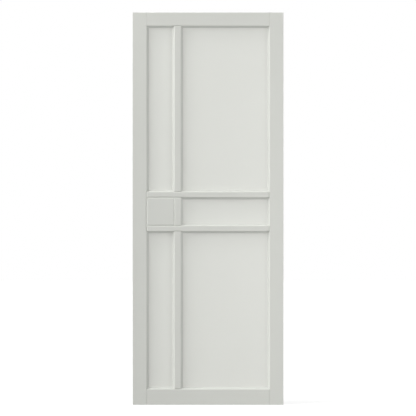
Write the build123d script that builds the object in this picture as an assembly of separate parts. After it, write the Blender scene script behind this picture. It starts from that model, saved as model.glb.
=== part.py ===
from build123d import *
import os
from math import atan2, degrees

# An interior door leaf of stile-and-panel construction, in millimetres.
# +Z is up, X runs across the width and Y through the thickness, with the front face at -Y.
# The origin is the middle of the hinge edge, so the leaf lies at X below zero.

# Leaf
leaf_width = 762.0
leaf_height = 1981.0
leaf_thickness = 35.0
edge_easing = 1.5

# Frame members
stile_width = 71.0
top_rail_height = 68.0
bottom_rail_height = 79.5
bar_height = 28.5
lower_bar_rise = 796.5
middle_row_height = 142.5
mullion_offset = 211.0
mullion_width = 33.0
arris_chamfer = 1.5
chamfer_angle = 45.0
corner_vee = 1.2

# Panels, and the grooves that hold them and the tongues
panel_thickness = 12.0
groove_depth = 9.0
groove_gap = 1.0
tongue_length = groove_depth - groove_gap

# Shallow bevel round the faces of the lock block
block_bevel_width = 4.0
block_bevel_depth = 1.5
block_bevel_slope = degrees(atan2(block_bevel_width, block_bevel_depth))

# Sloping beads round each panel, sunk below the arris of the frame
bead_width = 10.0
bead_height = 5.5
bead_lip = 1.0
recess_depth = (leaf_thickness - panel_thickness) / 2
bead_slope = degrees(atan2(bead_width, bead_height - bead_lip))

# Joint lines across the leaf
half_thickness = leaf_thickness / 2
x_lock = -leaf_width
x_lock_stile = x_lock + stile_width
x_mullion_lock = x_lock + mullion_offset
x_mullion_hinge = x_mullion_lock + mullion_width
x_hinge_stile = -stile_width
x_hinge = 0.0

# Joint lines up the leaf
z_bottom = -leaf_height / 2
z_bottom_rail = z_bottom + bottom_rail_height
z_lower_bar = z_bottom_rail + lower_bar_rise
z_middle_low = z_lower_bar + bar_height
z_middle_high = z_middle_low + middle_row_height
z_upper_bar = z_middle_high + bar_height
z_top = leaf_height / 2
z_top_rail = z_top - top_rail_height

# Each opening in the frame as its lock side, hinge side, foot and head
panel_openings = {
    "lower_narrow": (x_lock_stile, x_mullion_lock, z_bottom_rail, z_lower_bar),
    "lower_wide": (x_mullion_hinge, x_hinge_stile, z_bottom_rail, z_lower_bar),
    "middle_wide": (x_mullion_hinge, x_hinge_stile, z_middle_low, z_middle_high),
    "upper_narrow": (x_lock_stile, x_mullion_lock, z_upper_bar, z_top_rail),
    "upper_wide": (x_mullion_hinge, x_hinge_stile, z_upper_bar, z_top_rail),
}
block_opening = (x_lock_stile, x_mullion_lock, z_middle_low, z_middle_high)
field = (x_lock_stile, x_hinge_stile, z_bottom_rail, z_top_rail)


def slab(area, thickness):
    """A plate over an area of the leaf, centred in its thickness."""
    x0, x1, z0, z1 = area
    plate = Box(x1 - x0, thickness, z1 - z0)
    return Pos((x0 + x1) / 2, 0, (z0 + z1) / 2) * plate


def grown(area, sideways, upright):
    """The same area made larger on its two sides and on its foot and head."""
    x0, x1, z0, z1 = area
    return (x0 - sideways, x1 + sideways, z0 - upright, z1 + upright)


def rising(area, depth, rise, slope=0.0):
    """A block that rises from a depth below the front face, widening by a slope in degrees."""
    x0, x1, z0, z1 = area
    floor = Plane.XZ.offset(half_thickness - depth) * Pos((x0 + x1) / 2, (z0 + z1) / 2)
    return extrude(floor * Rectangle(x1 - x0, z1 - z0), rise, taper=-slope)


def both_faces(shape):
    """A shape together with its mirror image on the other face of the leaf."""
    return Part() + shape + mirror(shape, Plane.XZ)


def eased_blank():
    """The whole leaf as one slab with its outer arrises rounded."""
    blank = slab((x_lock, x_hinge, z_bottom, z_top), leaf_thickness)
    faces = blank.faces().sort_by(Axis.Y)
    return fillet(faces[0].edges() + faces[-1].edges(), edge_easing)


def field_arris():
    """The stopped chamfer round the inside of the stiles and rails, mitred in its corners."""
    return both_faces(rising(field, arris_chamfer, 2 * arris_chamfer, chamfer_angle))


def corner_joint(x, z0, z1):
    """The narrow V between a stile and the end of a rail, on both faces."""
    notch = Polygon((-corner_vee, 0), (corner_vee, 0), (0, corner_vee), align=None)
    return both_faces(extrude(Plane.XY.offset(z0) * Pos(x, -half_thickness) * notch, z1 - z0))


def corner_joints():
    """The V-joints in the four corners of the frame."""
    joints = Part()
    for x in (x_lock_stile, x_hinge_stile):
        joints += corner_joint(x, z_bottom, z_bottom_rail) + corner_joint(x, z_top_rail, z_top)
    return joints


def frame_blank():
    """The eased slab with the slopes that its frame pieces share cut in."""
    return eased_blank() - field_arris() - corner_joints()


def side_groove(x, inward, z0, z1):
    """A panel groove in an upright edge at x, running into the member."""
    x_end = x + inward * groove_depth
    return slab((min(x, x_end), max(x, x_end), z0, z1), panel_thickness)


def level_groove(z, inward, x0, x1):
    """A panel groove in a level edge at z, running into the member."""
    z_end = z + inward * groove_depth
    return slab((x0, x1, min(z, z_end), max(z, z_end)), panel_thickness)


def stile(blank, x0, x1, x_inner, inward):
    """A full-height stile, grooved along its inner edge."""
    body = blank & slab((x0, x1, z_bottom, z_top), leaf_thickness)
    return body - side_groove(x_inner, inward, z_bottom, z_top)


def rail(blank, z0, z1, z_inner, inward):
    """A top or bottom rail between the stiles, with tongues that fill their grooves."""
    area = (x_lock_stile, x_hinge_stile, z0, z1)
    reach = grown(area, tongue_length, 0)
    body = (blank & slab(area, leaf_thickness)) + slab(reach, panel_thickness)
    return body - level_groove(z_inner, inward, reach[0], reach[1])


def chamfered_member(area):
    """A member of full thickness, chamfered round the whole of both its faces."""
    body = slab(area, leaf_thickness)
    faces = body.faces().sort_by(Axis.Y)
    return chamfer(faces[0].edges() + faces[-1].edges(), arris_chamfer)


def bar(z0):
    """A slim level bar from stile to stile, grooved above and below."""
    area = (x_lock_stile, x_hinge_stile, z0, z0 + bar_height)
    reach = grown(area, tongue_length, 0)
    body = chamfered_member(area) + slab(reach, panel_thickness)
    body -= level_groove(z0, 1, reach[0], reach[1])
    return body - level_groove(z0 + bar_height, -1, reach[0], reach[1])


def mullion(z0, z1):
    """One length of the upright between two level members, grooved on both sides."""
    area = (x_mullion_lock, x_mullion_hinge, z0, z1)
    reach = grown(area, 0, tongue_length)
    body = chamfered_member(area) + slab(reach, panel_thickness)
    body -= side_groove(x_mullion_lock, 1, reach[2], reach[3])
    return body - side_groove(x_mullion_hinge, -1, reach[2], reach[3])


def lock_block():
    """The flush block that takes the lock, bevelled on its faces and tongued on all four sides."""
    core = slab(block_opening, leaf_thickness - 2 * block_bevel_depth)
    crown = rising(block_opening, block_bevel_depth, block_bevel_depth, -block_bevel_slope)
    tongue = slab(grown(block_opening, tongue_length, tongue_length), panel_thickness)
    return core + both_faces(crown) + tongue


def panel(area):
    """A flat panel let into the grooves around its opening."""
    return slab(grown(area, tongue_length, tongue_length), panel_thickness)


def bead_ring(area):
    """The front bead round a panel before its mitres are cut."""
    inside = grown(area, -bead_width, -bead_width)
    slope = rising(inside, recess_depth - bead_lip, bead_height, bead_slope)
    return rising(area, recess_depth, bead_height) - rising(inside, recess_depth, bead_height) - slope


def mitred_sides(area):
    """Trapezium outlines that divide a bead ring along its mitres."""
    x0, x1, z0, z1 = area
    a0, a1, c0, c1 = grown(area, -bead_width, -bead_width)
    return {
        "lock": ((x0, z0), (a0, c0), (a0, c1), (x0, z1)),
        "hinge": ((x1, z0), (x1, z1), (a1, c1), (a1, c0)),
        "bottom": ((x0, z0), (x1, z0), (a1, c0), (a0, c0)),
        "top": ((x0, z1), (a0, c1), (a1, c1), (x1, z1)),
    }


def bead_side(ring, outline):
    """One mitred strip of bead on each face of the leaf."""
    prism = extrude(Plane.XZ * Polygon(*outline, align=None), half_thickness)
    return both_faces(ring & prism)


def build_nodes():
    """Every piece of the leaf by its name."""
    blank = frame_blank()
    nodes = {
        "lock_stile": stile(blank, x_lock, x_lock_stile, x_lock_stile, -1),
        "hinge_stile": stile(blank, x_hinge_stile, x_hinge, x_hinge_stile, 1),
        "top_rail": rail(blank, z_top_rail, z_top, z_top_rail, 1),
        "bottom_rail": rail(blank, z_bottom, z_bottom_rail, z_bottom_rail, -1),
        "lower_bar": bar(z_lower_bar),
        "upper_bar": bar(z_middle_high),
        "lower_mullion": mullion(z_bottom_rail, z_lower_bar),
        "middle_mullion": mullion(z_middle_low, z_middle_high),
        "upper_mullion": mullion(z_upper_bar, z_top_rail),
        "lock_block": lock_block(),
    }
    for name, area in panel_openings.items():
        nodes[f"{name}_panel"] = panel(area)
        ring = bead_ring(area)
        for side, outline in mitred_sides(area).items():
            nodes[f"{name}_bead_{side}"] = bead_side(ring, outline)
    return nodes


os.makedirs("parts", exist_ok=True)
for node_name, node_shape in build_nodes().items():
    export_step(node_shape, f"parts/{node_name}.step")
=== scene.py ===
import bpy
from math import radians
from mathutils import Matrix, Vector


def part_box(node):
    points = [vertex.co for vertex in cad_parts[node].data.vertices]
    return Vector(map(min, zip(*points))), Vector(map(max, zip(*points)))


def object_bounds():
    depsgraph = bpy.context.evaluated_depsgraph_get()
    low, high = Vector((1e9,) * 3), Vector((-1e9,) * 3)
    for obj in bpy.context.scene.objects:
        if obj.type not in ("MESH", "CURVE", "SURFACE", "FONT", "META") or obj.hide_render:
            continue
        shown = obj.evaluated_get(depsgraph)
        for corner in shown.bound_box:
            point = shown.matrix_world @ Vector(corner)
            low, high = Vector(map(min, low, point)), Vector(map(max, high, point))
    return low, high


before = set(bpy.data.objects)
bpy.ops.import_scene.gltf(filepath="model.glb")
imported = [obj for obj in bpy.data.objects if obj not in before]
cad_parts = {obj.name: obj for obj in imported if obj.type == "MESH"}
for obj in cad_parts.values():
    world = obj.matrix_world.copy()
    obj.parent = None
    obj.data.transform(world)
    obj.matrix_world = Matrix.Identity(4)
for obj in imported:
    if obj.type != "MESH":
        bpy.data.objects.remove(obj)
cad_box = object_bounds()

# The image, and where the leaf stands in it, in pixels
IMAGE_SIZE = 416
LEAF_LEFT = 132.6
LEAF_RIGHT = 283.43
LEAF_HEAD = 12.31
LEAF_FOOT = 404.94

# The leaf in metres
LOW = Vector(cad_box[0])
HIGH = Vector(cad_box[1])
CENTRE = (LOW + HIGH) / 2
WIDTH = HIGH.x - LOW.x
HEIGHT = HIGH.z - LOW.z

# Camera sensor in millimetres, and distances from the leaf in metres
SENSOR = 36.0
CAMERA_DISTANCE = 12.0
SUN_DISTANCE = 8.0

# Paint colours, linear. The bead paint is the frame paint darkened, painted shade that tones down
# the light the sloped beads catch
FRAME_PAINT = (0.655, 0.665, 0.625)
PANEL_PAINT = (0.766, 0.776, 0.732)
SHADED_BEAD_PAINT = (0.59, 0.599, 0.563)

# Slow drifts of tone and gloss over the paint: how fine they are, and how far they go
DRIFT_SCALE = 4.0
DRIFT_DETAIL = 3.0
TONE_DRIFT = 0.015
ROUGHNESS_LOW = 0.42
ROUGHNESS_HIGH = 0.5

# Orange peel of the sprayed paint: how fine it is, how strong, and its height in metres
PEEL_SCALE = 700.0
PEEL_DETAIL = 2.0
PEEL_STRENGTH = 0.15
PEEL_HEIGHT = 0.0002

# The V-joints between members: half width and depth, in metres
JOINT_REACH = 0.005
JOINT_DEPTH = 0.00145

# The finer joints at the corners of the frame: half width in metres, and the tone at their
# bottom, painted shade standing for the shadow in the joint
CORNER_REACH = 0.0018
CORNER_PAINTED_SHADE = 0.88

# The floor: half its side in metres, its own grey, and the glow that whitens it to the eye
FLOOR_HALF = 20.0
FLOOR_GREY = 0.27
FLOOR_GLOW = 0.82

# Sun lamps: where the light comes from, its spread in degrees, its strength
SUNS = {
    "low_left": ((-0.957, -0.139, 0.256), 8.0, 1.06),
    "low_top": ((-0.256, -0.139, 0.957), 8.0, 1.39),
    "rim_left": ((-0.933, -0.259, 0.250), 12.0, 0.35),
    "upper_left": ((-0.740, -0.259, 0.621), 12.0, 0.43),
    "upper_top": ((-0.310, -0.423, 0.852), 15.0, 0.39),
    "side_left": ((-0.740, -0.643, 0.198), 20.0, 0.80),
    "side_right": ((0.936, -0.342, 0.082), 15.0, 0.72),
    "front": ((-0.03, -1.0, 0.02), 40.0, 0.23),
    "rear_left": ((0.50, 0.80, 0.30), 20.0, 1.35),
    "rear_right": ((-0.25, 0.85, 0.45), 30.0, 0.75),
}

# Softboxes: where they stand from the middle of the leaf, their distance, width, height and power
SOFTBOXES = {
    "tall_right": ((0.5, -0.8, -0.08), 3.0, 1.0, 3.6, 22.5),
    "tall_far_right": ((0.8, -0.5, 0.0), 2.4, 0.8, 3.6, 9.6),
    "corner": ((-0.62, -0.10, 0.78), 1.7, 0.5, 0.5, 0.9),
    "corner_front": ((-0.65, -0.30, 0.70), 1.8, 0.8, 0.8, 2.4),
    "low_front": ((0.08, -0.65, -0.80), 1.04, 1.0, 0.2, 0.15),
}


def make_camera():
    """A long lens, level and square to the leaf, framed as the picture is."""
    scale = (WIDTH / (LEAF_RIGHT - LEAF_LEFT) + HEIGHT / (LEAF_FOOT - LEAF_HEAD)) / 2
    across = (LEAF_LEFT + LEAF_RIGHT - IMAGE_SIZE) / 2 * scale
    down = (LEAF_HEAD + LEAF_FOOT - IMAGE_SIZE) / 2 * scale
    data = bpy.data.cameras.new("camera")
    data.sensor_width = SENSOR
    data.lens = SENSOR * CAMERA_DISTANCE / (IMAGE_SIZE * scale)
    camera = bpy.data.objects.new("camera", data)
    camera.location = (CENTRE.x - across, LOW.y - CAMERA_DISTANCE, CENTRE.z + down)
    camera.rotation_euler = (radians(90), 0, 0)
    bpy.context.scene.collection.objects.link(camera)
    bpy.context.scene.camera = camera


def place_lamp(name, data, direction, distance):
    """A lamp out from the middle of the leaf, turned towards it."""
    lamp = bpy.data.objects.new(name, data)
    towards = Vector(direction).normalized()
    lamp.location = CENTRE + towards * distance
    lamp.rotation_euler = towards.to_track_quat("Z", "Y").to_euler()
    lamp.visible_camera = False
    bpy.context.scene.collection.objects.link(lamp)


def make_lamps():
    """The studio lamps."""
    for name, (direction, spread, strength) in SUNS.items():
        data = bpy.data.lights.new(name, "SUN")
        data.angle = radians(spread)
        data.energy = strength
        place_lamp(name, data, direction, SUN_DISTANCE)
    for name, (direction, distance, width, height, power) in SOFTBOXES.items():
        data = bpy.data.lights.new(name, "AREA")
        data.shape = "RECTANGLE"
        data.size = width
        data.size_y = height
        data.energy = power
        place_lamp(name, data, direction, distance)


def add_node(nodes, kind, values):
    """A new node with these values on its inputs."""
    node = nodes.new(kind)
    for socket, value in values.items():
        node.inputs[socket].default_value = value
    return node


def math_node(nodes, links, operation, first, second=0.0):
    """The result of one arithmetic node on two sockets or numbers."""
    node = nodes.new("ShaderNodeMath")
    node.operation = operation
    for socket, value in zip(node.inputs, (first, second)):
        if isinstance(value, (int, float)):
            socket.default_value = value
        else:
            links.new(value, socket)
    return node.outputs[0]


def seen_rays(nodes, links):
    """1 for rays from the camera, and for mirror and transmission rays."""
    path = nodes.new("ShaderNodeLightPath").outputs
    seen = math_node(nodes, links, "MAXIMUM", path["Is Camera Ray"], path["Is Glossy Ray"])
    return math_node(nodes, links, "MAXIMUM", seen, path["Is Transmission Ray"])


def make_world():
    """Surroundings that are white to the eye and give no light of their own."""
    world = bpy.data.worlds.new("studio")
    world.use_nodes = True
    nodes, links = world.node_tree.nodes, world.node_tree.links
    nodes.clear()
    white = add_node(nodes, "ShaderNodeBackground", {"Color": (1, 1, 1, 1)})
    out = nodes.new("ShaderNodeOutputWorld")
    links.new(seen_rays(nodes, links), white.inputs["Strength"])
    links.new(white.outputs[0], out.inputs[0])
    bpy.context.scene.world = world


def make_floor():
    """A pale floor under the leaf that keeps its shadow."""
    signs = [(-1, -1), (1, -1), (1, 1), (-1, 1)]
    corners = [(CENTRE.x + i * FLOOR_HALF, j * FLOOR_HALF, LOW.z) for i, j in signs]
    mesh = bpy.data.meshes.new("floor")
    mesh.from_pydata(corners, [], [(0, 1, 2, 3)])
    floor = bpy.data.objects.new("floor", mesh)
    bpy.context.scene.collection.objects.link(floor)
    material = bpy.data.materials.new("floor")
    material.use_nodes = True
    nodes, links = material.node_tree.nodes, material.node_tree.links
    nodes.clear()
    grey = (FLOOR_GREY, FLOOR_GREY, FLOOR_GREY, 1)
    diffuse = add_node(nodes, "ShaderNodeBsdfDiffuse", {"Color": grey})
    glow = nodes.new("ShaderNodeEmission")
    both = nodes.new("ShaderNodeAddShader")
    out = nodes.new("ShaderNodeOutputMaterial")
    strength = math_node(nodes, links, "MULTIPLY", seen_rays(nodes, links), FLOOR_GLOW)
    links.new(strength, glow.inputs["Strength"])
    links.new(diffuse.outputs[0], both.inputs[0])
    links.new(glow.outputs[0], both.inputs[1])
    links.new(both.outputs[0], out.inputs[0])
    mesh.materials.append(material)


def spans(lines):
    """Lines given by their place and two ends, as their place, middle and half length."""
    return [(place, (a + b) / 2, (b - a) / 2) for place, a, b in lines]


def joint_lines():
    """The V-joints between members, the upright ones and the level ones."""
    lock_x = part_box("lock_stile")[1][0]
    hinge_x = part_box("hinge_stile")[0][0]
    mullion_x0, mullion_x1 = (corner[0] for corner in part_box("upper_mullion"))
    lower = [corner[2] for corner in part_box("lower_bar")]
    upper = [corner[2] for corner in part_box("upper_bar")]
    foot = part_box("bottom_rail")[1][2]
    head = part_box("top_rail")[0][2]
    upright = [(lock_x, lower[0], upper[1]), (mullion_x0, lower[1], upper[0])]
    upright += [(hinge_x, *lower), (hinge_x, *upper)]
    level = [(z, lock_x, mullion_x1) for z in (lower[1], upper[0])]
    level += [(z, mullion_x0, mullion_x1) for z in (foot, lower[0], upper[1], head)]
    return spans(upright), spans(level)


def corner_lines():
    """The joints between the stiles and the ends of the rails, all upright."""
    stiles = (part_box("lock_stile")[1][0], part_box("hinge_stile")[0][0])
    rails = [[corner[2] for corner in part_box(name)] for name in ("bottom_rail", "top_rail")]
    return spans([(x, *rail) for x in stiles for rail in rails]), []


def near_joints(nodes, links, place, joints, reach, at_joint, away):
    """A value that is at_joint on the joint lines and runs evenly to away at their reach."""
    split = nodes.new("ShaderNodeSeparateXYZ")
    links.new(place, split.inputs[0])
    nearest = 1.0
    for lines, across, along in zip(joints, ("X", "Z"), ("Z", "X")):
        for at, middle, half in lines:
            side = math_node(nodes, links, "SUBTRACT", split.outputs[across], at)
            side = math_node(nodes, links, "ABSOLUTE", side)
            end = math_node(nodes, links, "SUBTRACT", split.outputs[along], middle)
            end = math_node(nodes, links, "ABSOLUTE", end)
            end = math_node(nodes, links, "SUBTRACT", end, half)
            off = math_node(nodes, links, "MAXIMUM", side, end)
            nearest = math_node(nodes, links, "MINIMUM", off, nearest)
    limits = {"From Max": reach, "To Min": at_joint, "To Max": away}
    slope = add_node(nodes, "ShaderNodeMapRange", limits)
    links.new(nearest, slope.inputs["Value"])
    return slope.outputs["Result"]


def joint_dip(nodes, links, place):
    """The surface direction where the paint dips into the V-joints."""
    lines = joint_lines()
    height = near_joints(nodes, links, place, lines, JOINT_REACH, -JOINT_DEPTH, 0.0)
    dip = add_node(nodes, "ShaderNodeBump", {"Distance": 1.0})
    links.new(height, dip.inputs["Height"])
    return dip.outputs["Normal"]


def painted_corner_shade(nodes, links, place, colour):
    """The paint's colour, darkened in the corner joints as painted shade, where shadow falls in
    the crevice.
    """
    share = near_joints(nodes, links, place, corner_lines(), CORNER_REACH, 1.0, 0.0)
    shade = nodes.new("ShaderNodeMix")
    shade.data_type = "RGBA"
    shade.blend_type = "MULTIPLY"
    shade.inputs["B"].default_value = (CORNER_PAINTED_SHADE, CORNER_PAINTED_SHADE, CORNER_PAINTED_SHADE, 1.0)
    links.new(share, shade.inputs["Factor"])
    links.new(colour, shade.inputs["A"])
    return shade.outputs["Result"]


def satin_paint(name, colour, jointed):
    """Sprayed satin paint: a fine orange peel, with slight drifts of tone and gloss; jointed
    paint also dips into the V-joints and carries painted shade in the corner joints.
    """
    material = bpy.data.materials.new(name)
    material.use_nodes = True
    nodes, links = material.node_tree.nodes, material.node_tree.links
    shader = nodes["Principled BSDF"]
    place = nodes.new("ShaderNodeTexCoord").outputs["Object"]
    drifts = {"Scale": DRIFT_SCALE, "Detail": DRIFT_DETAIL}
    drift = add_node(nodes, "ShaderNodeTexNoise", drifts)
    peel = add_node(nodes, "ShaderNodeTexNoise", {"Scale": PEEL_SCALE, "Detail": PEEL_DETAIL})
    tone = nodes.new("ShaderNodeMix")
    tone.data_type = "RGBA"
    tone.inputs["A"].default_value = [c * (1 - TONE_DRIFT) for c in colour] + [1.0]
    tone.inputs["B"].default_value = [c * (1 + TONE_DRIFT) for c in colour] + [1.0]
    limits = {"To Min": ROUGHNESS_LOW, "To Max": ROUGHNESS_HIGH}
    gloss = add_node(nodes, "ShaderNodeMapRange", limits)
    relief = {"Strength": PEEL_STRENGTH, "Distance": PEEL_HEIGHT}
    bump = add_node(nodes, "ShaderNodeBump", relief)
    for texture in (drift, peel):
        links.new(place, texture.inputs["Vector"])
    links.new(drift.outputs["Fac"], tone.inputs["Factor"])
    links.new(drift.outputs["Fac"], gloss.inputs["Value"])
    links.new(peel.outputs["Fac"], bump.inputs["Height"])
    shown = tone.outputs["Result"]
    if jointed:
        links.new(joint_dip(nodes, links, place), bump.inputs["Normal"])
        # painted shade: the colour darkens in the corner joints
        shown = painted_corner_shade(nodes, links, place, shown)
    links.new(shown, shader.inputs["Base Color"])
    links.new(gloss.outputs["Result"], shader.inputs["Roughness"])
    links.new(bump.outputs["Normal"], shader.inputs["Normal"])
    return material


def paint_leaf():
    """Each kind of piece in its own paint; the beads' paint is the frame paint darkened as
    painted shade.
    """
    frame_paint = satin_paint("frame_paint", FRAME_PAINT, True)
    panel_paint = satin_paint("panel_paint", PANEL_PAINT, False)
    # the frame paint darkened: painted shade on the beads
    bead_paint = satin_paint("bead_paint", SHADED_BEAD_PAINT, False)
    for name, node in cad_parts.items():
        paint = frame_paint
        if name.endswith("_panel"):
            paint = panel_paint
        elif "_bead_" in name:
            paint = bead_paint
        node.data.materials.clear()
        node.data.materials.append(paint)


bpy.context.scene.view_settings.view_transform = "Standard"
make_camera()
make_world()
make_lamps()
make_floor()
paint_leaf()
